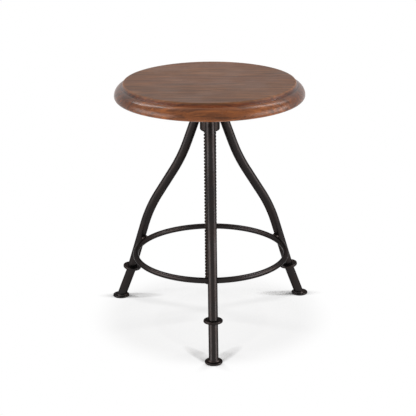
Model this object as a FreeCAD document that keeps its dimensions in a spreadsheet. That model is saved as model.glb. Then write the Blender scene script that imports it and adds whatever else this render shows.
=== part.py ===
import FreeCAD, Part
import math
import os
import Sketcher

# Machinist stool: a round wooden seat on a threaded spindle, in a tripod of bent round bar.
# Millimetres, +Z up. The origin is on the floor, on the spindle's axis. The front leg points to -Y.

Vector = FreeCAD.Vector
doc = FreeCAD.newDocument("MachinistStool")

# The driving sizes. Heights are above the floor, radii are from the spindle's axis.
SIZES = (
    ("seat_diameter", 360, "seat over its widest line"),
    ("seat_thickness", 31, "seat board"),
    ("edge_width", 13, "from the flat top's edge out to the widest line"),
    ("edge_step", 2.8, "height of the small step round the flat top"),
    ("edge_step_run", 0.8, "how far the step leans out"),
    ("edge_roll_radius", 6, "top of the rolled edge, just outside the step"),
    ("under_radius", 6, "round under the widest line"),
    ("plate_diameter", 110, "steel plate under the seat"),
    ("plate_thickness", 5, "steel plate under the seat"),
    ("plate_edge_chamfer", 1, "lower edge of the plate"),
    ("plate_hole_circle", 84, "circle of the wood screws"),
    ("plate_hole_diameter", 5.4, "clearance hole of a wood screw"),
    ("wood_screw_diameter", 4.8, "shank of a wood screw"),
    ("wood_screw_length", 22, "shank under the head"),
    ("wood_screw_play", 0.05, "between a wood screw and its hole in the seat"),
    ("wood_screw_head_diameter", 9.6, "round head"),
    ("wood_screw_head_height", 2.8, "round head"),
    ("wood_screw_head_round", 1.6, "round head"),
    ("wood_screw_slot", 1.2, "width and depth of the slot"),
    ("spigot_diameter", 16, "spindle's top, in the plate"),
    ("spigot_clearance", 0.1, "play all round the spigot"),
    ("plate_weld_leg", 4, "fillet weld under the plate"),
    ("plate_weld_toe", 0.8, "lower end of that weld"),
    ("spindle_diameter", 24, "over the thread's crests"),
    ("spindle_chamfer", 1.6, "lower end of the spindle"),
    ("spindle_end", 76, "height of the spindle's lower end, seat right down"),
    ("thread_pitch", 6.5, "one turn lifts the seat this far"),
    ("thread_depth", 1.8, "crest to root"),
    ("thread_crest", 2.6, "width of the spindle's crest"),
    ("thread_flank_run", 0.48, "how much a flank leans over the depth"),
    ("thread_clearance", 0.4, "play between spindle and hub, all round"),
    ("thread_overcut", 1, "how far a groove's cutter stands clear of the bar"),
    ("hub_diameter", 38, "tapped hub"),
    ("hub_length", 55, "tapped hub"),
    ("hub_chamfer", 1.5, "upper rim of the hub"),
    ("hub_round", 4, "lower rim of the hub"),
    ("hub_bottom", 384.5, "height of the hub's lower face"),
    ("lowest_gap", 4.5, "hub to plate, seat right down"),
    ("stop_washer_diameter", 30, "loose washer that stops the seat at the top"),
    ("stop_washer_thickness", 4, "stop washer"),
    ("stop_washer_chamfer", 0.6, "stop washer"),
    ("stop_clearance", 0.3, "play of the stop washer, each way"),
    ("stop_shoulder_diameter", 12, "shoulder that the stop washer turns on"),
    ("stop_head_diameter", 16, "stop screw"),
    ("stop_head_height", 3.5, "stop screw"),
    ("stop_head_chamfer", 0.8, "stop screw"),
    ("stop_shank_diameter", 8.5, "stop screw, in the spindle's end"),
    ("stop_shank_length", 20, "stop screw, in the spindle's end"),
    ("stop_socket_width", 8, "hexagon socket, over its corners"),
    ("stop_socket_depth", 2, "hexagon socket"),
    ("leg_diameter", 18, "bent round bar"),
    ("leg_top_below_hub", 3, "leg's upper end under the hub's upper face"),
    ("leg_end_chamfer", 1.2, "leg's upper end"),
    ("weld_gap", 0.2, "bar to bar, where a weld holds them"),
    ("shoulder_below_top", 25.5, "down the leg to where it leaves the hub"),
    ("shoulder_bend", 45, "bend radius of the leg's centre line"),
    ("waist_radius", 62.5, "upper leg's outward bend"),
    ("waist_height", 323, "upper leg's outward bend"),
    ("waist_bend", 340, "bend radius of the leg's centre line"),
    ("bow_radius", 139.4, "bend above the foot ring"),
    ("bow_height", 205.3, "bend above the foot ring"),
    ("bow_bend", 300, "bend radius of the leg's centre line"),
    ("knee_radius", 186.8, "small bend at the collar"),
    ("knee_height", 64, "small bend at the collar"),
    ("knee_bend", 60, "bend radius of the leg's centre line"),
    ("foot_radius", 213.5, "leg's centre line at the floor"),
    ("front_leg_angle", -90, "turn of the front leg about the axis"),
    ("ring_height", 135.8, "foot ring's centre line"),
    ("ring_bar", 11, "foot ring's bar"),
    ("ring_weld_height", 14, "lump of weld between ring and leg"),
    ("ring_weld_width", 15, "across that lump"),
    ("collar_diameter", 36, "collar low on the leg"),
    ("collar_thickness", 5, "collar low on the leg"),
    ("collar_round", 1.9, "collar's rims"),
    ("collar_height", 71, "collar's centre"),
    ("front_collar_lean", 4, "degrees, front collar off level, along the leg"),
    ("side_collar_lean", 9, "degrees, the other two collars off level, along the leg"),
    ("collar_play", 0.15, "leg in the collar, all round"),
    ("collar_weld_size", 2.6, "bead under the collar"),
    ("disc_diameter", 33, "foot disc"),
    ("disc_thickness", 4, "foot disc"),
    ("disc_round", 1.5, "foot disc's rims"),
    ("foot_weld_height", 2, "weld cone on the foot disc"),
    ("foot_weld_width", 1.2, "weld cone beyond the leg, at its top"),
    ("hub_weld_width", 12, "across the weld between hub and leg"),
    ("hub_weld_height", 15, "weld between hub and leg"),
)

dims = doc.addObject("Spreadsheet::Sheet", "dims")
for row, (alias, value, note) in enumerate(SIZES, start=1):
    dims.set("A%d" % row, alias)
    dims.set("B%d" % row, str(value))
    dims.set("C%d" % row, note)
    dims.setAlias("B%d" % row, alias)
doc.recompute()

# Places that follow from the driving sizes. Lengths in millimetres, leans in degrees off the vertical.
PLACES = (
    ("spindle_radius", "dims.spindle_diameter / 2"),
    ("root_radius", "spindle_radius - dims.thread_depth"),
    ("spigot_radius", "dims.spigot_diameter / 2"),
    ("hub_radius", "dims.hub_diameter / 2"),
    ("hub_top", "dims.hub_bottom + dims.hub_length"),
    ("hub_high_rim", "hub_top - dims.hub_chamfer"),
    ("hub_rim_radius", "hub_radius - dims.hub_chamfer"),
    ("hub_bore_radius", "root_radius + dims.thread_clearance"),
    ("plate_bottom", "hub_top + dims.lowest_gap"),
    ("plate_radius", "dims.plate_diameter / 2"),
    ("plate_rim_radius", "plate_radius - dims.plate_edge_chamfer"),
    ("plate_rim", "plate_bottom + dims.plate_edge_chamfer"),
    ("plate_bore_radius", "spigot_radius + dims.spigot_clearance"),
    ("seat_bottom", "plate_bottom + dims.plate_thickness"),
    ("seat_top", "seat_bottom + dims.seat_thickness"),
    ("seat_widest", "seat_bottom + dims.under_radius"),
    ("seat_radius", "dims.seat_diameter / 2"),
    ("flat_radius", "seat_radius - dims.edge_width"),
    ("step_foot_radius", "flat_radius + dims.edge_step_run"),
    ("step_foot", "seat_top - dims.edge_step"),
    ("pilot_diameter", "dims.wood_screw_diameter + 2 * dims.wood_screw_play"),
    ("pilot_depth", "dims.wood_screw_length - dims.plate_thickness + dims.wood_screw_play"),
    ("hole_place", "dims.plate_hole_circle / 2"),
    ("spindle_tip_radius", "spindle_radius - dims.spindle_chamfer"),
    ("spindle_tip", "dims.spindle_end + dims.spindle_chamfer"),
    ("stop_hole_radius", "dims.stop_shank_diameter / 2 + dims.spigot_clearance"),
    ("stop_hole_end", "dims.spindle_end + dims.stop_shank_length + dims.spigot_clearance"),
    ("groove_start", "dims.spindle_end - dims.thread_pitch"),
    ("groove_length", "plate_bottom - groove_start + dims.thread_pitch"),
    ("groove_out", "spindle_radius + dims.thread_overcut"),
    ("flank_slope", "dims.thread_flank_run / dims.thread_depth"),
    ("groove_half", "(dims.thread_pitch - dims.thread_crest) / 2"),
    ("groove_root_low", "groove_start - groove_half + dims.thread_flank_run"),
    ("groove_root_high", "groove_start + groove_half - dims.thread_flank_run"),
    ("groove_out_low", "groove_start - groove_half - dims.thread_overcut * flank_slope"),
    ("groove_out_high", "groove_start + groove_half + dims.thread_overcut * flank_slope"),
    ("turns_to_hub", "floor((dims.hub_bottom - groove_start) / dims.thread_pitch) - 0.5"),
    ("tap_start", "groove_start + turns_to_hub * dims.thread_pitch"),
    ("tap_length", "hub_top - tap_start + dims.thread_pitch"),
    ("tap_deep", "spindle_radius + dims.thread_clearance"),
    ("tap_in", "hub_bore_radius - dims.thread_overcut"),
    ("tap_half", "dims.thread_crest / 2 + dims.thread_clearance"),
    ("tap_deep_half", "tap_half - (tap_deep - spindle_radius) * flank_slope"),
    ("tap_in_half", "tap_half + (spindle_radius - tap_in) * flank_slope"),
    ("tap_deep_low", "tap_start - tap_deep_half"),
    ("tap_deep_high", "tap_start + tap_deep_half"),
    ("tap_in_low", "tap_start - tap_in_half"),
    ("tap_in_high", "tap_start + tap_in_half"),
    ("washer_top", "dims.spindle_end - dims.stop_clearance"),
    ("washer_bottom", "washer_top - dims.stop_washer_thickness"),
    ("washer_radius", "dims.stop_washer_diameter / 2"),
    ("washer_rim_radius", "washer_radius - dims.stop_washer_chamfer"),
    ("washer_high_rim", "washer_top - dims.stop_washer_chamfer"),
    ("washer_low_rim", "washer_bottom + dims.stop_washer_chamfer"),
    ("washer_bore_radius", "dims.stop_shoulder_diameter / 2 + dims.stop_clearance"),
    ("stop_shoulder_radius", "dims.stop_shoulder_diameter / 2"),
    ("stop_shank_radius", "dims.stop_shank_diameter / 2"),
    ("stop_shank_end", "dims.spindle_end + dims.stop_shank_length"),
    ("stop_head_top", "washer_bottom - dims.stop_clearance"),
    ("stop_head_bottom", "stop_head_top - dims.stop_head_height"),
    ("stop_head_radius", "dims.stop_head_diameter / 2"),
    ("stop_head_low_radius", "stop_head_radius - dims.stop_head_chamfer"),
    ("stop_head_low_rim", "stop_head_bottom + dims.stop_head_chamfer"),
    ("plate_weld_low", "plate_bottom - dims.plate_weld_leg"),
    ("plate_weld_low_radius", "spindle_radius + dims.plate_weld_toe"),
    ("plate_weld_radius", "spindle_radius + dims.plate_weld_leg"),
    ("leg_radius", "dims.leg_diameter / 2"),
    ("leg_top", "hub_top - dims.leg_top_below_hub"),
    ("shoulder_height", "leg_top - dims.shoulder_below_top"),
    ("leg_top_radius", "hub_radius + leg_radius + dims.weld_gap"),
    ("low_lean", "atan((dims.knee_radius - dims.bow_radius) / (dims.bow_height - dims.knee_height))"),
    ("foot_lean", "atan((dims.foot_radius - dims.knee_radius) / dims.knee_height)"),
    ("leg_at_ring", "dims.knee_radius - (dims.ring_height - dims.knee_height) * tan(low_lean * 1 deg)"),
    ("ring_offset", "leg_radius + dims.ring_bar / 2 + dims.weld_gap"),
    ("ring_radius", "leg_at_ring - ring_offset / cos(low_lean * 1 deg)"),
    ("leg_at_collar", "dims.knee_radius - (dims.collar_height - dims.knee_height) * tan(low_lean * 1 deg)"),
    ("trim_diameter", "dims.leg_diameter * 4"),
    ("foot_weld_middle", "dims.disc_thickness + dims.foot_weld_height / 2"),
    ("leg_at_disc", "dims.foot_radius - foot_weld_middle * tan(foot_lean * 1 deg)"),
    ("ring_weld_out", "ring_radius + (dims.ring_bar + dims.weld_gap) / 2 * cos(low_lean * 1 deg)"),
    ("ring_weld_up", "dims.ring_height + (dims.ring_bar + dims.weld_gap) / 2 * sin(low_lean * 1 deg)"),
    ("front_collar_half", "dims.collar_thickness / 2 / cos((low_lean - dims.front_collar_lean) * 1 deg)"),
    ("side_collar_half", "dims.collar_thickness / 2 / cos((low_lean - dims.side_collar_lean) * 1 deg)"),
    ("front_bead_out", "leg_at_collar + front_collar_half * sin(low_lean * 1 deg)"),
    ("front_bead_up", "dims.collar_height - front_collar_half * cos(low_lean * 1 deg)"),
    ("side_bead_out", "leg_at_collar + side_collar_half * sin(low_lean * 1 deg)"),
    ("side_bead_up", "dims.collar_height - side_collar_half * cos(low_lean * 1 deg)"),
    ("hub_weld_out", "hub_radius + dims.weld_gap / 2"),
    ("hub_weld_up", "leg_top - dims.hub_weld_height / 2 - dims.leg_end_chamfer"),
)

places = doc.addObject("App::VarSet", "places")
for name, rule in PLACES:
    places.addProperty("App::PropertyFloat", name, "Places")
for name, rule in PLACES:
    places.setExpression(name, rule)
doc.recompute()

LEGS = (("front", 0), ("right", 120), ("left", 240))


def value(name):
    """The number behind a named size or place, given as it is written in an expression. None is 0."""
    if name is None:
        return 0.0
    holder, key = name.split(".")
    return float(getattr({"dims": dims, "places": places}[holder], key))


def bind(thing, rules):
    """Ties properties of an object to the named sizes."""
    for prop, rule in rules.items():
        thing.setExpression(prop, rule)
    return thing


def primitive(kind, name, rules):
    return bind(doc.addObject(kind, name), rules)


def at_leg(turn, x="0", z="0", lean="0"):
    """A place beside one leg: x outwards, z up, and a lean inwards, in degrees."""
    about_axis = "rotation(vector(0; 0; 1); dims.front_leg_angle + %s)" % turn
    tilt = "rotation(vector(0; 1; 0); 0 - (%s))" % lean
    return "placement(vector(0; 0; 0); %s) * placement(vector(%s; 0; %s); %s)" % (about_axis, x, z, tilt)


def cut(name, base, tool):
    result = doc.addObject("Part::Cut", name)
    result.Base = base
    result.Tool = tool
    return result


def fuse(name, shapes):
    result = doc.addObject("Part::MultiFuse", name)
    result.Shapes = shapes
    return result


def group(name, members):
    """Separate solids that share one node."""
    result = doc.addObject("Part::Compound", name)
    result.Links = members
    return result


# Sketch helpers

def origin_part(body, role):
    return next(part for part in body.Origin.OriginFeatures if part.Role == role)


def new_sketch(body, name, role, height=None):
    sketch = body.newObject("Sketcher::SketchObject", name)
    sketch.AttachmentSupport = [(origin_part(body, role), "")]
    sketch.MapMode = "FlatFace"
    if height:
        sketch.setExpression(".AttachmentOffset.Base.z", height)
    return sketch


def rule(sketch, kind, *where, size=None):
    """Adds one constraint. A size is the name of a size or place, which the constraint then follows."""
    if size is None:
        return sketch.addConstraint(Sketcher.Constraint(kind, *where))
    number = sketch.addConstraint(Sketcher.Constraint(kind, *where, value(size)))
    sketch.setExpression("Constraints[%d]" % number, size)
    return number


def hold_point(sketch, geometry, point, x, y):
    """Fixes a point at a named radius and height. None puts it on the axis or on the floor."""
    if x is None:
        rule(sketch, "PointOnObject", geometry, point, -2)
    else:
        rule(sketch, "DistanceX", -1, 1, geometry, point, size=x)
    if y is None:
        rule(sketch, "PointOnObject", geometry, point, -1)
    else:
        rule(sketch, "DistanceY", -1, 1, geometry, point, size=y)


def outline(body, name, corners):
    """A closed outline of straight lines in the XZ plane, each corner at a named radius and height."""
    sketch = new_sketch(body, name, "XZ_Plane")
    points = [Vector(value(x), value(y), 0) for x, y in corners]
    for start, end in zip(points, points[1:] + points[:1]):
        sketch.addGeometry(Part.LineSegment(start, end), False)
    for number in range(len(corners)):
        rule(sketch, "Coincident", number, 2, (number + 1) % len(corners), 1)
    for number, (x, y) in enumerate(corners):
        hold_point(sketch, number, 1, x, y)
    return sketch


def circle(body, name, diameter, x=None, height=None):
    sketch = new_sketch(body, name, "XY_Plane", height)
    centre = Vector(value(x), 0, 0)
    sketch.addGeometry(Part.Circle(centre, Vector(0, 0, 1), value(diameter) / 2), False)
    if x:
        rule(sketch, "PointOnObject", 0, 3, -1)
        rule(sketch, "DistanceX", -1, 1, 0, 3, size=x)
    else:
        rule(sketch, "Coincident", 0, 3, -1, 1)
    rule(sketch, "Diameter", 0, size=diameter)
    return sketch


def turned(name, corners):
    """A body of revolution about the spindle's axis."""
    body = doc.addObject("PartDesign::Body", name)
    sketch = outline(body, name + "_outline", corners)
    turn = body.newObject("PartDesign::Revolution", name + "_turned")
    turn.Profile = sketch
    turn.ReferenceAxis = (sketch, ["V_Axis"])
    turn.Angle = 360
    doc.recompute()
    return body


def thread(body, name, corners, length):
    """Cuts a helical groove with a cutter of four named corners."""
    cutter = outline(body, name + "_cutter", corners)
    groove = body.newObject("PartDesign::SubtractiveHelix", name)
    groove.Profile = cutter
    groove.ReferenceAxis = (origin_part(body, "Z_Axis"), [""])
    groove.Mode = 0
    bind(groove, {"Pitch": "dims.thread_pitch", "Height": length})
    doc.recompute()
    body.Tip = groove


def holes_round(body, name, diameter, height, upward, depth=None):
    """Four equal holes on the plate's hole circle."""
    sketch = circle(body, name + "_circle", diameter, "places.hole_place", height)
    hole = body.newObject("PartDesign::Pocket", name + "_first")
    hole.Profile = sketch
    hole.Reversed = upward
    if depth:
        hole.setExpression("Length", depth)
    else:
        hole.Type = 1
    doc.recompute()
    ring = body.newObject("PartDesign::PolarPattern", name)
    ring.Originals = [hole]
    ring.Axis = (origin_part(body, "Z_Axis"), [""])
    ring.Angle = 360
    ring.Occurrences = 4
    body.Tip = ring
    doc.recompute()


def edges_at(shape, height):
    """Names of the closed circular edges at a height."""
    return [
        "Edge%d" % number
        for number, edge in enumerate(shape.Edges, start=1)
        if abs(edge.BoundBox.ZMin - height) < 1e-4 and abs(edge.BoundBox.ZMax - height) < 1e-4
    ]


def disc(name, diameter, thickness, rounding, both_rims=True):
    """An upright disc with rounded rims, its underside at the body's own zero."""
    body = doc.addObject("PartDesign::Body", name)
    pad = body.newObject("PartDesign::Pad", name + "_pad")
    pad.Profile = circle(body, name + "_circle", diameter)
    pad.setExpression("Length", thickness)
    doc.recompute()
    rims = body.newObject("PartDesign::Fillet", name + "_rims")
    upper = edges_at(pad.Shape, value(thickness)) if both_rims else []
    rims.Base = (pad, edges_at(pad.Shape, 0) + upper)
    rims.setExpression("Radius", rounding)
    doc.recompute()
    return body


# Seat board

seat = doc.addObject("PartDesign::Body", "seat")
seat_profile = new_sketch(seat, "seat_profile", "XZ_Plane")


def draw_seat(sketch):
    """Half section: flat top, small step, an edge that rolls out to the widest line, round underneath."""
    radius = value("places.seat_radius")
    low, wide, top = value("places.seat_bottom"), value("places.seat_widest"), value("places.seat_top")
    under, roll = value("dims.under_radius"), value("dims.edge_roll_radius")
    foot = Vector(value("places.step_foot_radius"), value("places.step_foot"), 0)
    rim = Vector(value("places.flat_radius"), top, 0)
    across, rise = radius - foot.x, foot.y - roll - wide
    side = (across ** 2 + rise ** 2 - roll ** 2) / (2 * (across - roll))
    meet = math.atan2(rise, side - across)
    up = Vector(0, 0, 1)
    under_circle = Part.Circle(Vector(radius - under, wide, 0), up, under)
    side_circle = Part.Circle(Vector(radius - side, wide, 0), up, side)
    roll_circle = Part.Circle(Vector(foot.x, foot.y - roll, 0), up, roll)
    sketch.addGeometry(Part.LineSegment(Vector(0, low, 0), Vector(radius - under, low, 0)), False)
    sketch.addGeometry(Part.ArcOfCircle(under_circle, -math.pi / 2, 0), False)
    sketch.addGeometry(Part.ArcOfCircle(side_circle, 0, meet), False)
    sketch.addGeometry(Part.ArcOfCircle(roll_circle, meet, math.pi / 2), False)
    sketch.addGeometry(Part.LineSegment(foot, rim), False)
    sketch.addGeometry(Part.LineSegment(rim, Vector(0, top, 0)), False)
    sketch.addGeometry(Part.LineSegment(Vector(0, top, 0), Vector(0, low, 0)), False)
    bottom, under_arc, side_arc, roll_arc, step, flat, axis = range(7)
    rule(sketch, "Tangent", bottom, 2, under_arc, 1)
    rule(sketch, "Tangent", under_arc, 2, side_arc, 1)
    rule(sketch, "Tangent", side_arc, 2, roll_arc, 1)
    rule(sketch, "Coincident", roll_arc, 2, step, 1)
    rule(sketch, "Coincident", step, 2, flat, 1)
    rule(sketch, "Coincident", flat, 2, axis, 1)
    rule(sketch, "Coincident", axis, 2, bottom, 1)
    rule(sketch, "Horizontal", under_arc, 3, under_arc, 2)
    rule(sketch, "Vertical", roll_arc, 3, roll_arc, 2)
    rule(sketch, "Horizontal", bottom)
    rule(sketch, "Horizontal", flat)
    rule(sketch, "Radius", under_arc, size="dims.under_radius")
    rule(sketch, "Radius", roll_arc, size="dims.edge_roll_radius")
    rule(sketch, "DistanceX", -1, 1, under_arc, 2, size="places.seat_radius")
    hold_point(sketch, axis, 2, None, "places.seat_bottom")
    hold_point(sketch, step, 1, "places.step_foot_radius", "places.step_foot")
    hold_point(sketch, step, 2, "places.flat_radius", "places.seat_top")
    rule(sketch, "PointOnObject", axis, 1, -2)


draw_seat(seat_profile)
seat_turned = seat.newObject("PartDesign::Revolution", "seat_turned")
seat_turned.Profile = seat_profile
seat_turned.ReferenceAxis = (seat_profile, ["V_Axis"])
seat_turned.Angle = 360
doc.recompute()
holes_round(seat, "pilot_holes", "places.pilot_diameter", "places.seat_bottom", True, "places.pilot_depth")

# Plate under the seat

seat_plate = turned("seat_plate", (
    ("places.plate_bore_radius", "places.plate_bottom"),
    ("places.plate_rim_radius", "places.plate_bottom"),
    ("places.plate_radius", "places.plate_rim"),
    ("places.plate_radius", "places.seat_bottom"),
    ("places.plate_bore_radius", "places.seat_bottom"),
))
holes_round(seat_plate, "plate_holes", "dims.plate_hole_diameter", "places.seat_bottom", False)


def wood_screw(number):
    """A slotted round head screw, head down, up through the plate into the seat."""
    name = "wood_screw_%d" % number
    shank = primitive("Part::Cylinder", name + "_shank", {
        "Radius": "dims.wood_screw_diameter / 2",
        "Height": "dims.wood_screw_length",
        "Placement.Base.z": "places.plate_bottom",
    })
    head = disc(name + "_head", "dims.wood_screw_head_diameter", "dims.wood_screw_head_height",
                "dims.wood_screw_head_round", both_rims=False)
    bind(head, {"Placement.Base.z": "places.plate_bottom - dims.wood_screw_head_height"})
    slot = primitive("Part::Box", name + "_slot", {
        "Length": "dims.wood_screw_head_diameter * 2",
        "Width": "dims.wood_screw_slot",
        "Height": "dims.wood_screw_slot * 2",
        "Placement.Base.x": "0 - dims.wood_screw_head_diameter",
        "Placement.Base.y": "0 - dims.wood_screw_slot / 2",
        "Placement.Base.z": "places.plate_bottom - dims.wood_screw_head_height - dims.wood_screw_slot",
    })
    blank = fuse(name + "_blank", [shank, head])
    screw = cut(name, blank, slot)
    spread = "placement(vector(places.hole_place; 0; 0); rotation(vector(0; 0; 1); %d))" % (number * 25)
    turn = "placement(vector(0; 0; 0); rotation(vector(0; 0; 1); %d))" % (number * 90)
    screw.setExpression("Placement", turn + " * " + spread)
    return screw


plate_screws = group("plate_screws", [wood_screw(number) for number in range(4)])

# Spindle and hub, with matching threads

lift_screw = turned("lift_screw", (
    ("places.stop_hole_radius", "dims.spindle_end"),
    ("places.spindle_tip_radius", "dims.spindle_end"),
    ("places.spindle_radius", "places.spindle_tip"),
    ("places.spindle_radius", "places.plate_bottom"),
    ("places.spigot_radius", "places.plate_bottom"),
    ("places.spigot_radius", "places.seat_bottom"),
    (None, "places.seat_bottom"),
    (None, "places.stop_hole_end"),
    ("places.stop_hole_radius", "places.stop_hole_end"),
))
thread(lift_screw, "spindle_thread", (
    ("places.root_radius", "places.groove_root_low"),
    ("places.groove_out", "places.groove_out_low"),
    ("places.groove_out", "places.groove_out_high"),
    ("places.root_radius", "places.groove_root_high"),
), "places.groove_length")

hub = turned("hub", (
    ("places.hub_bore_radius", "dims.hub_bottom"),
    ("places.hub_radius", "dims.hub_bottom"),
    ("places.hub_radius", "places.hub_high_rim"),
    ("places.hub_rim_radius", "places.hub_top"),
    ("places.hub_bore_radius", "places.hub_top"),
))
hub_blank = hub.Tip
low_rims = edges_at(hub_blank.Shape, value("dims.hub_bottom"))
hub_round = hub.newObject("PartDesign::Fillet", "hub_round")
hub_round.Base = (hub_blank, [max(low_rims, key=lambda rim: hub_blank.Shape.getElement(rim).Length)])
hub_round.setExpression("Radius", "dims.hub_round")
doc.recompute()
thread(hub, "hub_thread", (
    ("places.tap_in", "places.tap_in_low"),
    ("places.tap_deep", "places.tap_deep_low"),
    ("places.tap_deep", "places.tap_deep_high"),
    ("places.tap_in", "places.tap_in_high"),
), "places.tap_length")

plate_weld = turned("plate_weld", (
    ("places.spindle_radius", "places.plate_weld_low"),
    ("places.plate_weld_low_radius", "places.plate_weld_low"),
    ("places.plate_weld_radius", "places.plate_bottom"),
    ("places.spindle_radius", "places.plate_bottom"),
))

# Stop at the spindle's lower end

stop_washer = turned("stop_washer", (
    ("places.washer_bore_radius", "places.washer_bottom"),
    ("places.washer_rim_radius", "places.washer_bottom"),
    ("places.washer_radius", "places.washer_low_rim"),
    ("places.washer_radius", "places.washer_high_rim"),
    ("places.washer_rim_radius", "places.washer_top"),
    ("places.washer_bore_radius", "places.washer_top"),
))

stop_blank = turned("stop_blank", (
    (None, "places.stop_head_bottom"),
    ("places.stop_head_low_radius", "places.stop_head_bottom"),
    ("places.stop_head_radius", "places.stop_head_low_rim"),
    ("places.stop_head_radius", "places.stop_head_top"),
    ("places.stop_shoulder_radius", "places.stop_head_top"),
    ("places.stop_shoulder_radius", "dims.spindle_end"),
    ("places.stop_shank_radius", "dims.spindle_end"),
    ("places.stop_shank_radius", "places.stop_shank_end"),
    (None, "places.stop_shank_end"),
))
stop_socket = primitive("Part::Prism", "stop_socket", {
    "Circumradius": "dims.stop_socket_width / 2",
    "Height": "dims.stop_socket_depth",
    "Placement.Base.z": "places.stop_head_bottom",
})
stop_socket.Polygon = 6
stop_screw = cut("stop_screw", stop_blank, stop_socket)

# Legs: one bar each, down the hub, out over the foot ring and on to its foot disc

BENDS = (
    ("places.leg_top_radius", "places.leg_top", None),
    ("places.leg_top_radius", "places.shoulder_height", "dims.shoulder_bend"),
    ("dims.waist_radius", "dims.waist_height", "dims.waist_bend"),
    ("dims.bow_radius", "dims.bow_height", "dims.bow_bend"),
    ("dims.knee_radius", "dims.knee_height", "dims.knee_bend"),
    ("dims.foot_radius", None, None),
)


def draw_bends(sketch):
    """Straight runs between the corners, with a tangent arc at each bend."""
    corners = [Vector(value(x), value(z), 0) for x, z, bend in BENDS]
    runs = [(end - start).normalize() for start, end in zip(corners, corners[1:])]
    joints = [corners[0]]
    arcs = []
    for number in range(1, len(corners) - 1):
        arrive, leave = runs[number - 1], runs[number]
        radius = value(BENDS[number][2])
        reach = radius * math.tan(arrive.getAngle(leave) / 2)
        side = 1 if arrive.cross(leave).z > 0 else -1
        first = corners[number] - arrive * reach
        last = corners[number] + leave * reach
        centre = first + Vector(-arrive.y, arrive.x, 0) * radius * side
        angles = [math.atan2(point.y - centre.y, point.x - centre.x) for point in (first, last)]
        if side < 0:
            angles.reverse()
        arcs.append((Part.ArcOfCircle(Part.Circle(centre, Vector(0, 0, 1), radius), *angles), side))
        joints += [first, last]
    joints.append(corners[-1])
    lines = [
        sketch.addGeometry(Part.LineSegment(joints[number], joints[number + 1]), False)
        for number in range(0, len(joints), 2)
    ]
    hold_point(sketch, lines[0], 1, *BENDS[0][:2])
    hold_point(sketch, lines[-1], 2, *BENDS[-1][:2])
    for number, (arc, side) in enumerate(arcs, start=1):
        bend = sketch.addGeometry(arc, False)
        begin, finish = (1, 2) if side > 0 else (2, 1)
        corner = sketch.addGeometry(Part.Point(corners[number]), True)
        hold_point(sketch, corner, 1, *BENDS[number][:2])
        rule(sketch, "PointOnObject", corner, 1, lines[number - 1])
        rule(sketch, "PointOnObject", corner, 1, lines[number])
        rule(sketch, "Tangent", lines[number - 1], 2, bend, begin)
        rule(sketch, "Tangent", bend, finish, lines[number], 1)
        rule(sketch, "Radius", bend, size=BENDS[number][2])


def bent_leg(name, turn):
    body = doc.addObject("PartDesign::Body", name)
    path = new_sketch(body, name + "_path", "XZ_Plane")
    draw_bends(path)
    doc.recompute()
    pipe = body.newObject("PartDesign::AdditivePipe", name + "_bar")
    pipe.Profile = circle(body, name + "_section", "dims.leg_diameter",
                          "places.leg_top_radius", "places.leg_top")
    pipe.Spine = (path, [])
    doc.recompute()
    trim = body.newObject("PartDesign::Pocket", name + "_trim")
    trim.Profile = circle(body, name + "_floor", "places.trim_diameter",
                          "dims.foot_radius", "dims.disc_thickness")
    trim.Type = 1
    doc.recompute()
    end = body.newObject("PartDesign::Chamfer", name + "_end")
    end.Base = (trim, edges_at(trim.Shape, value("places.leg_top")))
    end.setExpression("Size", "dims.leg_end_chamfer")
    body.Tip = end
    body.setExpression("Placement", at_leg(turn))
    doc.recompute()
    return body


legs = {side: bent_leg("leg_" + side, turn) for side, turn in LEGS}

foot_ring = primitive("Part::Torus", "foot_ring", {
    "Radius1": "places.ring_radius",
    "Radius2": "dims.ring_bar / 2",
    "Placement.Base.z": "dims.ring_height",
})

# Collar and foot disc of each leg


def collar_kind(side):
    return "front" if side == "front" else "side"


def collar(side, turn):
    lean = "dims.%s_collar_lean" % collar_kind(side)
    blank = disc("collar_blank_" + side, "dims.collar_diameter", "dims.collar_thickness", "dims.collar_round")
    level = " * placement(vector(0; 0; 0 - dims.collar_thickness / 2); rotation(vector(0; 0; 1); 0))"
    at_centre = at_leg(turn, "places.leg_at_collar", "dims.collar_height", lean)
    blank.setExpression("Placement", at_centre + level)
    bore = primitive("Part::Cylinder", "collar_bore_" + side, {
        "Radius": "places.leg_radius + dims.collar_play",
        "Height": "dims.collar_diameter",
    })
    middle = " * placement(vector(0; 0; 0 - dims.collar_diameter / 2); rotation(vector(0; 0; 1); 0))"
    along = at_leg(turn, "places.leg_at_collar", "dims.collar_height", "places.low_lean")
    bore.setExpression("Placement", along + middle)
    return cut("collar_" + side, blank, bore)


def foot_disc(side, turn):
    body = disc("foot_disc_" + side, "dims.disc_diameter", "dims.disc_thickness", "dims.disc_round")
    body.setExpression("Placement", at_leg(turn, "dims.foot_radius"))
    return body


collars = {side: collar(side, turn) for side, turn in LEGS}
foot_discs = {side: foot_disc(side, turn) for side, turn in LEGS}

# Welds of the stand


def hub_weld(side, turn):
    lump = primitive("Part::Ellipsoid", "hub_lump_" + side, {
        "Radius1": "dims.hub_weld_height / 2",
        "Radius2": "dims.hub_weld_width / 2",
    })
    lump.setExpression("Placement", at_leg(turn, "places.hub_weld_out", "places.hub_weld_up"))
    core = primitive("Part::Cylinder", "hub_core_" + side, {
        "Radius": "places.hub_radius",
        "Height": "dims.hub_length",
        "Placement.Base.z": "dims.hub_bottom",
    })
    return cut("hub_weld_" + side, cut("hub_fillet_" + side, lump, core), legs[side])


def ring_weld(side, turn):
    lump = primitive("Part::Ellipsoid", "ring_lump_" + side, {
        "Radius1": "dims.ring_weld_height / 2",
        "Radius2": "dims.ring_weld_width / 2",
    })
    beside = ("places.ring_weld_out", "places.ring_weld_up", "places.low_lean")
    lump.setExpression("Placement", at_leg(turn, *beside))
    return cut("ring_weld_" + side, cut("ring_fillet_" + side, lump, foot_ring), legs[side])


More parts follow.
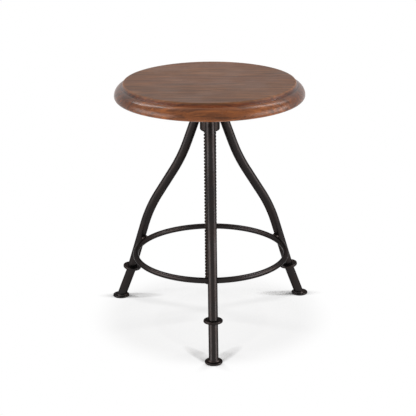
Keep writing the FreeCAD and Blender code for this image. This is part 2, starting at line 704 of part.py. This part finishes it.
def collar_weld(side, turn):
    bead = primitive("Part::Torus", "collar_bead_" + side, {
        "Radius1": "places.leg_radius + dims.collar_play",
        "Radius2": "dims.collar_weld_size / 2",
    })
    kind = collar_kind(side)
    beside = ("places.%s_bead_out" % kind, "places.%s_bead_up" % kind, "dims.%s_collar_lean" % kind)
    bead.setExpression("Placement", at_leg(turn, *beside))
    return cut("collar_weld_" + side, cut("collar_fillet_" + side, bead, collars[side]), legs[side])


def foot_weld(side, turn):
    cone = primitive("Part::Cone", "foot_cone_" + side, {
        "Radius1": "places.leg_radius + dims.foot_weld_width * 2",
        "Radius2": "places.leg_radius + dims.foot_weld_width",
        "Height": "dims.foot_weld_height",
    })
    cone.setExpression("Placement", at_leg(turn, "places.leg_at_disc", "dims.disc_thickness"))
    return cut("foot_weld_" + side, cone, legs[side])


hub_welds = group("hub_welds", [hub_weld(side, turn) for side, turn in LEGS])
ring_welds = group("ring_welds", [ring_weld(side, turn) for side, turn in LEGS])
collar_welds = group("collar_welds", [collar_weld(side, turn) for side, turn in LEGS])
foot_welds = group("foot_welds", [foot_weld(side, turn) for side, turn in LEGS])
doc.recompute()

nodes = [seat, seat_plate, plate_screws, lift_screw, plate_weld, stop_screw, stop_washer, hub, foot_ring]
nodes += list(legs.values()) + list(collars.values()) + list(foot_discs.values())
nodes += [hub_welds, ring_welds, collar_welds, foot_welds]

for thing in doc.Objects:
    if "Invalid" in thing.State or "Error" in thing.State:
        raise RuntimeError("%s does not build: %s" % (thing.Label, thing.State))
for node in nodes:
    if node.Shape.isNull() or not node.Shape.isValid():
        raise RuntimeError("%s has no sound shape" % node.Label)

os.makedirs("parts", exist_ok=True)
for node in nodes:
    node.Shape.exportStep("parts/%s.step" % node.Label)
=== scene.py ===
import math
import bmesh
import bpy
from mathutils import Matrix, Vector


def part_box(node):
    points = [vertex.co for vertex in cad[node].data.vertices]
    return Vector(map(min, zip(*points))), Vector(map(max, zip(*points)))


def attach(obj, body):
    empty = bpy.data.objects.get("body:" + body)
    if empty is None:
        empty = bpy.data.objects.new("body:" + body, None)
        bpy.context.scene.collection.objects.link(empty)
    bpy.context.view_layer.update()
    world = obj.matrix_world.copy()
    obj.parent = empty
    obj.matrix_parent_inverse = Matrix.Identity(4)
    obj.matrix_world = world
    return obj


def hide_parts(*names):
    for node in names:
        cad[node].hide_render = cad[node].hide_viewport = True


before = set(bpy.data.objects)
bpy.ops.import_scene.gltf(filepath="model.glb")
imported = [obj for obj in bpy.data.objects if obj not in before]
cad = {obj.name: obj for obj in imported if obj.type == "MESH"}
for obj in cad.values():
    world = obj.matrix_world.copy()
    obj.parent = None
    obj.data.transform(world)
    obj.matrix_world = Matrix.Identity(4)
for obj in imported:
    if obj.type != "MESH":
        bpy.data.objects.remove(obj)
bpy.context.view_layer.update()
print("frame loaded:", len(cad), "nodes")


# Small helpers for node trees

def addNode(tree, kind, x, y, **settings):
    node = tree.nodes.new(kind)
    node.location = (x, y)
    for name, value in settings.items():
        setattr(node, name, value)
    return node


def wire(tree, source, target):
    tree.links.new(source, target)


def mathNode(tree, operation, first, second, x, y, clamp=False):
    node = addNode(tree, "ShaderNodeMath", x, y, operation=operation, use_clamp=clamp)
    for socket, value in zip(node.inputs, (first, second)):
        if value is None:
            continue
        if isinstance(value, (int, float)):
            socket.default_value = value
        else:
            wire(tree, value, socket)
    return node.outputs[0]


def remap(tree, value, low, high, x, y, toLow=0.0, toHigh=1.0):
    node = addNode(tree, "ShaderNodeMapRange", x, y, interpolation_type="SMOOTHSTEP")
    wire(tree, value, node.inputs["Value"])
    for name, number in (("From Min", low), ("From Max", high), ("To Min", toLow), ("To Max", toHigh)):
        if isinstance(number, (int, float)):
            node.inputs[name].default_value = number
        else:
            wire(tree, number, node.inputs[name])
    return node.outputs["Result"]


def mixColor(tree, factor, first, second, x, y, blend="MIX"):
    node = addNode(tree, "ShaderNodeMix", x, y, data_type="RGBA", blend_type=blend)
    for socket, value in ((node.inputs[0], factor), (node.inputs[6], first), (node.inputs[7], second)):
        if isinstance(value, (int, float)):
            socket.default_value = value
        elif isinstance(value, tuple):
            socket.default_value = (*value, 1.0)
        else:
            wire(tree, value, socket)
    return node.outputs[2]


def stretchNode(tree, vector, scale, x, y, offset=(0, 0, 0)):
    node = addNode(tree, "ShaderNodeMapping", x, y)
    node.inputs["Location"].default_value = offset
    node.inputs["Scale"].default_value = scale
    wire(tree, vector, node.inputs["Vector"])
    return node.outputs["Vector"]


def noiseNode(tree, vector, scale, detail, rough, x, y, distortion=0.0):
    node = addNode(tree, "ShaderNodeTexNoise", x, y)
    node.inputs["Scale"].default_value = scale
    node.inputs["Detail"].default_value = detail
    node.inputs["Roughness"].default_value = rough
    node.inputs["Distortion"].default_value = distortion
    wire(tree, vector, node.inputs["Vector"])
    return node.outputs["Fac"]


def newGroup(name, inputs, outputs):
    tree = bpy.data.node_groups.new(name, "ShaderNodeTree")
    for label, kind, value in inputs:
        socket = tree.interface.new_socket(label, in_out="INPUT", socket_type=kind)
        if value is not None:
            socket.default_value = value
    for label, kind in outputs:
        tree.interface.new_socket(label, in_out="OUTPUT", socket_type=kind)
    return tree, addNode(tree, "NodeGroupInput", -1600, 0), addNode(tree, "NodeGroupOutput", 900, 0)


def placeGroup(tree, group, x, y, **values):
    node = addNode(tree, "ShaderNodeGroup", x, y, node_tree=group)
    for label, value in values.items():
        socket = node.inputs[label]
        socket.default_value = (*value, 1.0) if isinstance(value, tuple) else value
    return node


def newMaterial(name):
    material = bpy.data.materials.new(name)
    material.use_nodes = True
    tree = material.node_tree
    tree.nodes.clear()
    surface = addNode(tree, "ShaderNodeBsdfPrincipled", 400, 0)
    output = addNode(tree, "ShaderNodeOutputMaterial", 700, 0)
    place = addNode(tree, "ShaderNodeTexCoord", -1200, 0)
    wire(tree, surface.outputs[0], output.inputs["Surface"])
    return material, tree, surface, place.outputs["Object"]


def bumpNode(tree, height, strength, distance, x, y, normal=None):
    node = addNode(tree, "ShaderNodeBump", x, y)
    node.inputs["Strength"].default_value = strength
    node.inputs["Distance"].default_value = distance
    wire(tree, height, node.inputs["Height"])
    if normal is not None:
        wire(tree, normal, node.inputs["Normal"])
    return node.outputs["Normal"]


# Effects that several finishes share

woodGrain = {
    "swayScale": (3.0, 9.0, 9.0),  # how often each layer repeats in a metre, along the grain and across
    "ringScale": (1.5, 26.0, 34.0),
    "figureScale": (11.0, 140.0, 140.0),
    "fibreScale": (22.0, 520.0, 520.0),
    "poreScale": (75.0, 1500.0, 1500.0),
    "streakScale": (15.0, 125.0, 125.0),
    "ringDistortion": 9.0,
    "ringShare": 0.22,
    "figureShare": 1.15,
    "fibreShare": 0.38,
    "swayShare": 0.35,
    "middle": 1.05,
}


def makeBoardGrain():
    # staves glued side by side along X, each with its own figure, fibres and pores
    tree, enter, leave = newGroup("boardGrain", (
        ("Vector", "NodeSocketVector", None),
        ("StaveWidth", "NodeSocketFloat", 0.06),
        ("Figure", "NodeSocketFloat", 1.0),
    ), (
        ("Tone", "NodeSocketFloat"), ("Stave", "NodeSocketFloat"), ("Streak", "NodeSocketFloat"),
        ("Pores", "NodeSocketFloat"), ("Joint", "NodeSocketFloat"),
    ))
    grain = woodGrain
    vector = enter.outputs["Vector"]
    parts = addNode(tree, "ShaderNodeSeparateXYZ", -1400, 200)
    wire(tree, vector, parts.inputs[0])
    across = mathNode(tree, "DIVIDE", parts.outputs["Y"], enter.outputs["StaveWidth"], -1200, 300)
    number = mathNode(tree, "FLOOR", across, None, -1040, 300)
    pick = addNode(tree, "ShaderNodeTexWhiteNoise", -880, 300, noise_dimensions="1D")
    wire(tree, number, pick.inputs["W"])
    stave = pick.outputs["Value"]
    within = mathNode(tree, "FRACT", across, None, -1040, 120)
    offset = mathNode(tree, "SUBTRACT", within, 0.5, -880, 120)
    joint = remap(tree, mathNode(tree, "ABSOLUTE", offset, None, -720, 120), 0.488, 0.499, -560, 120)
    shift = addNode(tree, "ShaderNodeVectorMath", -720, 520, operation="SCALE")
    shift.inputs[0].default_value = (3.1, 7.3, 5.9)
    wire(tree, stave, shift.inputs["Scale"])
    moved = addNode(tree, "ShaderNodeVectorMath", -560, 520, operation="ADD")
    wire(tree, vector, moved.inputs[0])
    wire(tree, shift.outputs[0], moved.inputs[1])
    own = moved.outputs[0]
    sway = noiseNode(tree, stretchNode(tree, own, grain["swayScale"], -400, 760), 1.0, 2.0, 0.5, -220, 760)
    rings = addNode(tree, "ShaderNodeTexWave", 0, 600, wave_type="BANDS", bands_direction="DIAGONAL")
    rings.inputs["Scale"].default_value = 1.0
    rings.inputs["Distortion"].default_value = grain["ringDistortion"]
    rings.inputs["Detail"].default_value = 3.0
    rings.inputs["Detail Scale"].default_value = 1.2
    wire(tree, stretchNode(tree, own, grain["ringScale"], -220, 560), rings.inputs["Vector"])
    figure = stretchNode(tree, own, grain["figureScale"], -220, 320)
    figure = noiseNode(tree, figure, 1.0, 4.0, 0.62, 0, 320, 0.6)
    fibre = noiseNode(tree, stretchNode(tree, own, grain["fibreScale"], -220, 120), 1.0, 3.0, 0.6, 0, 120)
    pore = noiseNode(tree, stretchNode(tree, own, grain["poreScale"], -220, -80), 1.0, 1.0, 0.5, 0, -80)
    patch = stretchNode(tree, own, grain["streakScale"], -220, -280, (4, 2, 1))
    streak = remap(tree, noiseNode(tree, patch, 1.0, 2.0, 0.5, 0, -280), 0.55, 0.68, 200, -280)
    tone = mathNode(tree, "MULTIPLY", rings.outputs["Fac"], grain["ringShare"], 200, 600)
    for row, (layer, share) in enumerate(((figure, "figureShare"), (fibre, "fibreShare"), (sway, "swayShare"))):
        part = mathNode(tree, "MULTIPLY", layer, grain[share], 200, 440 - 160 * row)
        tone = mathNode(tree, "ADD", tone, part, 360 + 140 * row, 520)
    tone = mathNode(tree, "SUBTRACT", tone, grain["middle"], 760, 500)
    tone = mathNode(tree, "MULTIPLY_ADD", tone, enter.outputs["Figure"], 820, 620)
    tone.node.inputs[2].default_value = 0.5
    wire(tree, tone, leave.inputs["Tone"])
    wire(tree, stave, leave.inputs["Stave"])
    wire(tree, streak, leave.inputs["Streak"])
    wire(tree, remap(tree, pore, 0.6, 0.72, 200, -80), leave.inputs["Pores"])
    wire(tree, joint, leave.inputs["Joint"])
    return tree


def makeEdgeWear():
    # where a rim turns sharply, broken up by a patchy noise
    tree, enter, leave = newGroup("edgeWear", (
        ("Vector", "NodeSocketVector", None),
        ("Reach", "NodeSocketFloat", 0.001),
        ("Patch", "NodeSocketFloat", 120.0),
    ), (("Mask", "NodeSocketFloat"),))
    soft = addNode(tree, "ShaderNodeBevel", -1200, 200, samples=6)
    wire(tree, enter.outputs["Reach"], soft.inputs["Radius"])
    shape = addNode(tree, "ShaderNodeNewGeometry", -1200, -40)
    same = addNode(tree, "ShaderNodeVectorMath", -960, 120, operation="DOT_PRODUCT")
    wire(tree, soft.outputs[0], same.inputs[0])
    wire(tree, shape.outputs["Normal"], same.inputs[1])
    edge = remap(tree, same.outputs["Value"], 0.995, 0.93, -760, 120)
    patch = addNode(tree, "ShaderNodeTexNoise", -960, -220)
    wire(tree, enter.outputs["Vector"], patch.inputs["Vector"])
    wire(tree, enter.outputs["Patch"], patch.inputs["Scale"])
    patch.inputs["Detail"].default_value = 3.0
    broken = remap(tree, patch.outputs["Fac"], 0.36, 0.62, -760, -220)
    wire(tree, mathNode(tree, "MULTIPLY", edge, broken, -500, 0), leave.inputs["Mask"])
    return tree


def makePatinaSkin():
    # mottled skin of a patina or an oil finish: soft clouds and fine grit
    tree, enter, leave = newGroup("patinaSkin", (
        ("Vector", "NodeSocketVector", None),
        ("Cloud", "NodeSocketFloat", 45.0),
        ("Grit", "NodeSocketFloat", 900.0),
    ), (("Cloud", "NodeSocketFloat"), ("Grit", "NodeSocketFloat")))
    for row, (label, detail) in enumerate((("Cloud", 4.0), ("Grit", 2.0))):
        noise = addNode(tree, "ShaderNodeTexNoise", -900, -300 * row)
        noise.inputs["Detail"].default_value = detail
        wire(tree, enter.outputs["Vector"], noise.inputs["Vector"])
        wire(tree, enter.outputs[label], noise.inputs["Scale"])
        wire(tree, remap(tree, noise.outputs["Fac"], 0.3, 0.7, -600, -300 * row), leave.inputs[label])
    return tree


boardGrain = makeBoardGrain()
edgeWear = makeEdgeWear()
patinaSkin = makePatinaSkin()
print("shared effects ready")

# Seat board

seatBoard = {
    "segments": 240,
    "radius": 0.18,
    "flatRadius": 0.163,
    "stepRun": 0.0015,
    "stepHeight": 0.007,
    "rollRadius": 0.009,
    "underRadius": 0.006,
    "rimRound": 0.0024,
    "coveRound": 0.0016,
    "stainAndShadeStart": 0.0022,  # the groove's stain and painted shade start this far under the flat, and are full below that
    "stainAndShadeFull": 0.0042,
    "darkWood": (0.05, 0.021, 0.01),
    "midWood": (0.13, 0.053, 0.023),
    "lightWood": (0.25, 0.105, 0.04),
    "redWood": (0.13, 0.045, 0.019),
    "rimWarmthAndLight": (1.8, 1.38, 0.94),
    "endGrainAndShade": (0.36, 0.33, 0.34),
    "grooveStainAndShade": (0.62, 0.48, 0.4),
    "staveWidth": 0.062,
    "gloss": 0.27,
    "topRough": (0.5, 0.58),
    "rimPolish": 0.27,
    "bumpDepth": 0.0004,
}


def seatSection():
    # half section from the middle of the top, round the edge, to the middle of the underside
    low, high = (corner.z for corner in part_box("seat"))
    board = seatBoard
    wide = low + board["underRadius"]
    footX = board["flatRadius"] + board["stepRun"]
    footZ = high - board["stepHeight"]
    across = board["radius"] - footX
    rise = footZ - board["rollRadius"] - wide
    roll = board["rollRadius"]
    side = (across ** 2 + rise ** 2 - roll ** 2) / (2 * (across - roll))
    meet = math.atan2(rise, side - across)
    section = [(x, high) for x in (0.0, 0.03, 0.07, 0.11, 0.14, 0.155)]
    small = board["rimRound"]
    for step in range(7):  # rounded edge of the flat
        turn = math.radians(90 - 78 * step / 6)
        section.append((board["flatRadius"] - small + small * math.cos(turn),
                        high - small + small * math.sin(turn)))
    cove = board["coveRound"]
    for step in range(5):  # cove at the foot of the step
        turn = math.radians(192 + 68 * step / 4)
        section.append((footX + cove + cove * math.cos(turn), footZ + cove + cove * math.sin(turn)))
    for step in range(2, 9):  # roll
        turn = math.pi / 2 + (meet - math.pi / 2) * step / 8
        section.append((footX + roll * math.cos(turn), footZ - roll + roll * math.sin(turn)))
    for step in range(1, 13):  # slack curve of the side
        turn = meet * (1 - step / 12)
        section.append((board["radius"] - side + side * math.cos(turn), wide + side * math.sin(turn)))
    under = board["underRadius"]
    for step in range(1, 9):  # lower edge
        turn = -math.pi / 2 * step / 8
        section.append((board["radius"] - under + under * math.cos(turn), wide + under * math.sin(turn)))
    return section + [(x, low) for x in (0.15, 0.1, 0.05, 0.0)]


def finishMesh(work, name, smooth=True):
    bmesh.ops.recalc_face_normals(work, faces=work.faces)
    for face in work.faces:
        face.smooth = smooth
    mesh = bpy.data.meshes.new(name)
    work.to_mesh(mesh)
    work.free()
    piece = bpy.data.objects.new(name, mesh)
    bpy.context.scene.collection.objects.link(piece)
    return piece


def makeSeatBoard():
    work = bmesh.new()
    points = [work.verts.new((x, 0, z)) for x, z in seatSection()]
    edges = [work.edges.new(pair) for pair in zip(points, points[1:])]
    bmesh.ops.spin(work, geom=points + edges, cent=(0, 0, 0), axis=(0, 0, 1), angle=math.tau,
                   steps=seatBoard["segments"], use_merge=True)
    bmesh.ops.remove_doubles(work, verts=work.verts, dist=1e-6)
    return finishMesh(work, "seatBoard")


def makeSeatWood():
    material, tree, surface, place = newMaterial("oiledHardwood")
    board = seatBoard
    grain = placeGroup(tree, boardGrain, -900, 200, StaveWidth=board["staveWidth"], Figure=1.0)
    wire(tree, stretchNode(tree, place, (1, 1, 1), -1080, 200, (0.0, 0.017, -0.2)), grain.inputs["Vector"])
    tone = grain.outputs["Tone"]
    low = remap(tree, tone, 0.2, 0.55, -680, 400)
    high = remap(tree, tone, 0.55, 0.95, -680, 200)
    color = mixColor(tree, low, board["darkWood"], board["midWood"], -480, 400)
    color = mixColor(tree, high, color, board["lightWood"], -300, 400)
    red = mathNode(tree, "MULTIPLY", grain.outputs["Stave"], 0.5, -480, 200)
    color = mixColor(tree, red, color, board["redWood"], -120, 400)
    streak = mathNode(tree, "MULTIPLY", grain.outputs["Streak"], 0.5, -300, 100)
    color = mixColor(tree, streak, color, board["lightWood"], 40, 400)
    pores = mathNode(tree, "MULTIPLY", grain.outputs["Pores"], 0.45, -300, -60)
    joints = mathNode(tree, "MULTIPLY", grain.outputs["Joint"], 0.5, -300, -220)
    dark = mathNode(tree, "MAXIMUM", pores, joints, -120, -60)
    color = mixColor(tree, dark, color, board["darkWood"], 200, 400)

    # the rolled edge is warmer and better polished than the flat top; its colour is also lighter, partly
    # painted light standing in for the light on the front of the edge
    spot = addNode(tree, "ShaderNodeSeparateXYZ", -1080, -600)
    wire(tree, place, spot.inputs[0])
    height = spot.outputs["Z"]
    alongX, alongY = (mathNode(tree, "POWER", spot.outputs[axis], 2.0, -900, -600 - 160 * row)
                      for row, axis in enumerate("XY"))
    square = mathNode(tree, "ADD", alongX, alongY, -740, -660)
    reach = mathNode(tree, "SQRT", square, None, -600, -660)
    flat = board["flatRadius"]
    rim = remap(tree, reach, flat - 0.002, flat + 0.002, -440, -660)
    # partly painted light: the rim is tinted warmer and lighter than the top
    color = mixColor(tree, rim, color, board["rimWarmthAndLight"], 300, 600, "MULTIPLY")

    # the ends of the staves, at the left and right of the rim, are darker as end grain and as painted shade on
    # the sides; the groove round the flat soaks up more stain and holds painted shade
    ends = mathNode(tree, "DIVIDE", alongX, mathNode(tree, "MAXIMUM", square, 0.001, -600, -900), -440, -900)
    ends = mathNode(tree, "MULTIPLY", remap(tree, ends, 0.25, 0.85, -300, -900), rim, -140, -900)
    color = mixColor(tree, ends, color, board["endGrainAndShade"], 300, 800, "MULTIPLY")
    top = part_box("seat")[1].z
    foot = flat + board["stepRun"]
    # stain and painted shade: the groove under the flat's edge is darker
    deep = remap(tree, height, top - board["stainAndShadeStart"], top - board["stainAndShadeFull"], -440, -1100)
    inside = remap(tree, reach, foot + 0.004, foot + 0.0012, -440, -1260)
    groove = mathNode(tree, "MULTIPLY", deep, inside, -240, -1100)
    groove = mathNode(tree, "MULTIPLY", groove, remap(tree, reach, 0.15, 0.155, -440, -1420), -80, -1100)
    color = mixColor(tree, groove, color, board["grooveStainAndShade"], 300, 1000, "MULTIPLY")

    # painted highlight: the flat's rounded edge is made lighter, as if it caught the light
    edge = remap(tree, reach, flat - 0.004, flat - 0.001, -440, -1580)
    upper = remap(tree, height, top - 0.003, top - 0.001, -440, -1740)
    wearAndHighlight = mathNode(tree, "MULTIPLY", edge, upper, -240, -1580)
    wearAndHighlight = mathNode(tree, "MULTIPLY", wearAndHighlight, 0.3, -80, -1580)
    color = mixColor(tree, wearAndHighlight, color, board["lightWood"], 300, 1200)
    wire(tree, color, surface.inputs["Base Color"])

    cloud = placeGroup(tree, patinaSkin, -900, -300, Cloud=14.0, Grit=260.0)
    wire(tree, place, cloud.inputs["Vector"])
    rough = remap(tree, cloud.outputs["Cloud"], 0.0, 1.0, -480, -400, *board["topRough"])
    polish = mathNode(tree, "MULTIPLY", rim, board["rimPolish"], -300, -400)
    wire(tree, mathNode(tree, "SUBTRACT", rough, polish, -140, -400), surface.inputs["Roughness"])
    surface.inputs["Specular IOR Level"].default_value = board["gloss"]
    relief = mathNode(tree, "MULTIPLY", tone, 0.35, -300, -500)
    relief = mathNode(tree, "SUBTRACT", relief, grain.outputs["Pores"], -120, -500)
    swell = mathNode(tree, "MULTIPLY", cloud.outputs["Cloud"], 0.4, -120, -660)
    relief = mathNode(tree, "ADD", relief, swell, 40, -500)
    calm = mathNode(tree, "SUBTRACT", 1.0, mathNode(tree, "MULTIPLY", rim, 0.8, -120, -820), 40, -820)
    relief = mathNode(tree, "MULTIPLY", relief, calm, 140, -600)
    wire(tree, bumpNode(tree, relief, 0.35, board["bumpDepth"], 200, -400), surface.inputs["Normal"])
    return material


seatPiece = makeSeatBoard()
seatPiece.data.materials.append(makeSeatWood())
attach(seatPiece, "seat_and_spindle")
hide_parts("seat")
print("seat board ready")

# Dark bronzed bar, turnings, thread and welds

barFinish = {
    "bronze": (0.027, 0.0245, 0.0245),
    "brown": (0.034, 0.022, 0.018),
    "wearAndHighlight": (0.12, 0.075, 0.05),
    "edgeTint": (0.4, 0.4, 0.4),
    "rough": (0.26, 0.36),
    "gloss": 0.1,
    "metal": 0.9,
}


def makeBarIron(name, brownShare, wearShare):
    material, tree, surface, place = newMaterial(name)
    skin = placeGroup(tree, patinaSkin, -900, 100, Cloud=38.0, Grit=700.0)
    wire(tree, place, skin.inputs["Vector"])
    brown = mathNode(tree, "MULTIPLY", skin.outputs["Cloud"], brownShare, -640, 300)
    color = mixColor(tree, brown, barFinish["bronze"], barFinish["brown"], -440, 300)
    wear = placeGroup(tree, edgeWear, -900, -200, Reach=0.0009, Patch=140.0)
    wire(tree, place, wear.inputs["Vector"])
    wearAndHighlight = mathNode(tree, "MULTIPLY", wear.outputs["Mask"], wearShare, -640, -200)
    color = mixColor(tree, wearAndHighlight, color, barFinish["wearAndHighlight"], -240, 300)
    wire(tree, color, surface.inputs["Base Color"])
    rough = remap(tree, skin.outputs["Cloud"], 0.0, 1.0, -440, 0, *barFinish["rough"])
    wire(tree, rough, surface.inputs["Roughness"])
    dents = bumpNode(tree, skin.outputs["Cloud"], 0.25, 0.0006, -440, -300)
    wire(tree, bumpNode(tree, skin.outputs["Grit"], 0.18, 0.0002, -240, -300, dents), surface.inputs["Normal"])
    surface.inputs["Metallic"].default_value = barFinish["metal"]
    surface.inputs["Specular Tint"].default_value = (*barFinish["edgeTint"], 1.0)
    surface.inputs["Specular IOR Level"].default_value = barFinish["gloss"]
    return material


def dress(material, *names):
    for name in names:
        cad[name].data.materials.clear()
        cad[name].data.materials.append(material)


dress(makeBarIron("bronzedBar", 0.35, 0.5), "leg_front", "leg_left", "leg_right", "foot_ring")
dress(makeBarIron("bronzedTurnings", 0.5, 0.8), "hub", "collar_front", "collar_left", "collar_right",
      "foot_disc_front", "foot_disc_left", "foot_disc_right", "seat_plate", "stop_washer")
dress(makeBarIron("brownedThread", 0.9, 1.0), "lift_screw")
dress(makeBarIron("brownedWeld", 0.7, 0.15), "hub_welds", "ring_welds", "collar_welds", "foot_welds",
      "plate_weld")
print("bars dressed")

# Bare fasteners under the seat

fastener = {
    "zinc": (0.42, 0.41, 0.39),
    "stain": (0.12, 0.09, 0.07),
    "rough": (0.3, 0.5),
    "metal": 0.9,
}


def makeFastenerSteel():
    material, tree, surface, place = newMaterial("dullZinc")
    skin = placeGroup(tree, patinaSkin, -900, 0, Cloud=160.0, Grit=1500.0)
    wire(tree, place, skin.inputs["Vector"])
    stain = mathNode(tree, "MULTIPLY", skin.outputs["Cloud"], 0.6, -600, 100)
    color = mixColor(tree, stain, fastener["zinc"], fastener["stain"], -400, 100)
    wire(tree, color, surface.inputs["Base Color"])
    rough = remap(tree, skin.outputs["Grit"], 0.0, 1.0, -400, -100, *fastener["rough"])
    wire(tree, rough, surface.inputs["Roughness"])
    wire(tree, bumpNode(tree, skin.outputs["Grit"], 0.2, 0.0001, -200, -200), surface.inputs["Normal"])
    surface.inputs["Metallic"].default_value = fastener["metal"]
    return material


dress(makeFastenerSteel(), "plate_screws", "stop_screw")
print("fasteners dressed")

# Floor, light and camera

studio = {
    "floorWhite": (0.93, 0.93, 0.93),
    "floorHalf": 9.0,
    "floorGlow": 0.65,
    "patchInner": 0.17,
    "patchOuter": 0.25,
    "fillStrength": 0.2,
    "shadowLength": 0.085,
    "shadowWidth": 0.02,
    "shadowShift": 0.02975,
    "shadows": (("left", 0), ("right", 180), ("front", 52), ("front", 128)),  # foot, and way in degrees
}

softboxes = (
    {"name": "leftPanel", "place": (-1.5, -0.6, 0.44), "size": (1.5, 0.82), "power": 17.5, "aim": (0, 0, 0.3)},
    {"name": "rightPanel", "place": (1.55, -0.5, 0.44), "size": (1.5, 0.82), "power": 20.5, "aim": (0, 0, 0.3)},
    {"name": "leftStrip", "place": (-1.02, 0.42, 1.78), "size": (0.2, 1.0), "power": 12.0, "aim": (0, 0, 0.47)},
    {"name": "rightStrip", "place": (1.05, 0.34, 1.78), "size": (0.2, 1.0), "power": 12.0, "aim": (0, 0, 0.47)},
)


def backgroundRay(tree, x, y):
    # 1 for what the camera sees straight, in gloss or through glass
    path = addNode(tree, "ShaderNodeLightPath", x, y).outputs
    seen = mathNode(tree, "MAXIMUM", path["Is Camera Ray"], path["Is Glossy Ray"], x + 160, y)
    return mathNode(tree, "MAXIMUM", seen, path["Is Transmission Ray"], x + 320, y)


def makeFloor():
    work = bmesh.new()
    bmesh.ops.create_grid(work, x_segments=2, y_segments=2, size=studio["floorHalf"])
    floor = finishMesh(work, "studioFloor", False)
    material, tree, surface, place = newMaterial("paleFloor")
    surface.inputs["Base Color"].default_value = (*studio["floorWhite"], 1.0)
    surface.inputs["Roughness"].default_value = 0.9
    surface.inputs["Specular IOR Level"].default_value = 0.0
    far = addNode(tree, "ShaderNodeVectorMath", -900, -300, operation="LENGTH")
    wire(tree, place, far.inputs[0])
    # partly painted shadow: inside the patch the floor takes less glow, so it is greyer round the stool even
    # where nothing shades it, and its real shadows show
    share = remap(tree, far.outputs["Value"], studio["patchInner"], studio["patchOuter"], -700, -300,
                  studio["floorGlow"], 1.0)
    # the glow gives way beside each foot, on the inner side, so that the shadow there shows; the floor also
    # greys there, a painted shadow beside each foot
    for row, (foot, turn) in enumerate(studio["shadows"]):
        y = -900 - 300 * row
        low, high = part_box("foot_disc_" + foot)
        middle = (low + high) / 2
        angle = math.radians(turn)
        spread = addNode(tree, "ShaderNodeMapping", -1200, y, vector_type="TEXTURE")
        spread.inputs["Location"].default_value = (middle.x + math.cos(angle) * studio["shadowShift"],
                                                   middle.y + math.sin(angle) * studio["shadowShift"], 0)
        spread.inputs["Rotation"].default_value = (0, 0, angle)
        spread.inputs["Scale"].default_value = (studio["shadowLength"], studio["shadowWidth"], 1)
        wire(tree, place, spread.inputs["Vector"])
        near = addNode(tree, "ShaderNodeVectorMath", -1000, y, operation="LENGTH")
        wire(tree, spread.outputs[0], near.inputs[0])
        clear = remap(tree, near.outputs["Value"], 0.35, 1.0, -800, y)
        share = mathNode(tree, "MINIMUM", share, clear, -500 + 100 * row, -600)
    share = mathNode(tree, "MULTIPLY", share, backgroundRay(tree, -900, -600), -100, -300)
    glow = addNode(tree, "ShaderNodeEmission", 400, -400)
    blend = addNode(tree, "ShaderNodeMixShader", 600, -200)
    wire(tree, share, blend.inputs[0])
    wire(tree, surface.outputs[0], blend.inputs[1])
    wire(tree, glow.outputs[0], blend.inputs[2])
    output = next(node for node in tree.nodes if node.type == "OUTPUT_MATERIAL")
    wire(tree, blend.outputs[0], output.inputs["Surface"])
    floor.data.materials.append(material)


def makeWorld():
    world = bpy.data.worlds.new("whiteSweep")
    bpy.context.scene.world = world
    world.use_nodes = True
    tree = world.node_tree
    tree.nodes.clear()
    strength = remap(tree, backgroundRay(tree, -900, 0), 0.0, 1.0, -300, 100, studio["fillStrength"], 1.0)
    sky = addNode(tree, "ShaderNodeBackground", -100, 0)
    sky.inputs["Color"].default_value = (1.0, 1.0, 1.0, 1.0)
    wire(tree, strength, sky.inputs["Strength"])
    output = addNode(tree, "ShaderNodeOutputWorld", 100, 0)
    wire(tree, sky.outputs[0], output.inputs["Surface"])


def addSoftbox(name, place, size, power, aim):
    lamp = bpy.data.lights.new(name, "AREA")
    lamp.shape = "RECTANGLE"
    lamp.size, lamp.size_y = size
    lamp.energy = power
    box = bpy.data.objects.new(name, lamp)
    box.location = place
    box.rotation_euler = (Vector(aim) - Vector(place)).to_track_quat("-Z", "Y").to_euler()
    bpy.context.scene.collection.objects.link(box)


view = {
    "distance": 2.4,
    "height": 1.072,
    "heading": -0.0163,
    "pitch": 0.3385,
    "roll": -0.0085,
    "lens": 113.38,
    "shiftX": -0.0061,
}


def makeCamera():
    lens = bpy.data.cameras.new("photoView")
    lens.sensor_fit = "HORIZONTAL"
    lens.sensor_width = 36.0
    lens.lens = view["lens"]
    lens.shift_x = view["shiftX"]
    lens.clip_end = 100.0
    camera = bpy.data.objects.new("photoView", lens)
    turn = Matrix.Rotation(view["heading"], 4, "Z")
    stand = Matrix.Translation((0, -view["distance"], view["height"]))
    tilt = Matrix.Rotation(math.pi / 2 - view["pitch"], 4, "X") @ Matrix.Rotation(view["roll"], 4, "Z")
    camera.matrix_world = turn @ stand @ tilt
    bpy.context.scene.collection.objects.link(camera)
    bpy.context.scene.camera = camera


makeFloor()
makeWorld()
for softbox in softboxes:
    addSoftbox(**softbox)
makeCamera()
bpy.context.scene.view_settings.view_transform = "Standard"
print("studio ready")
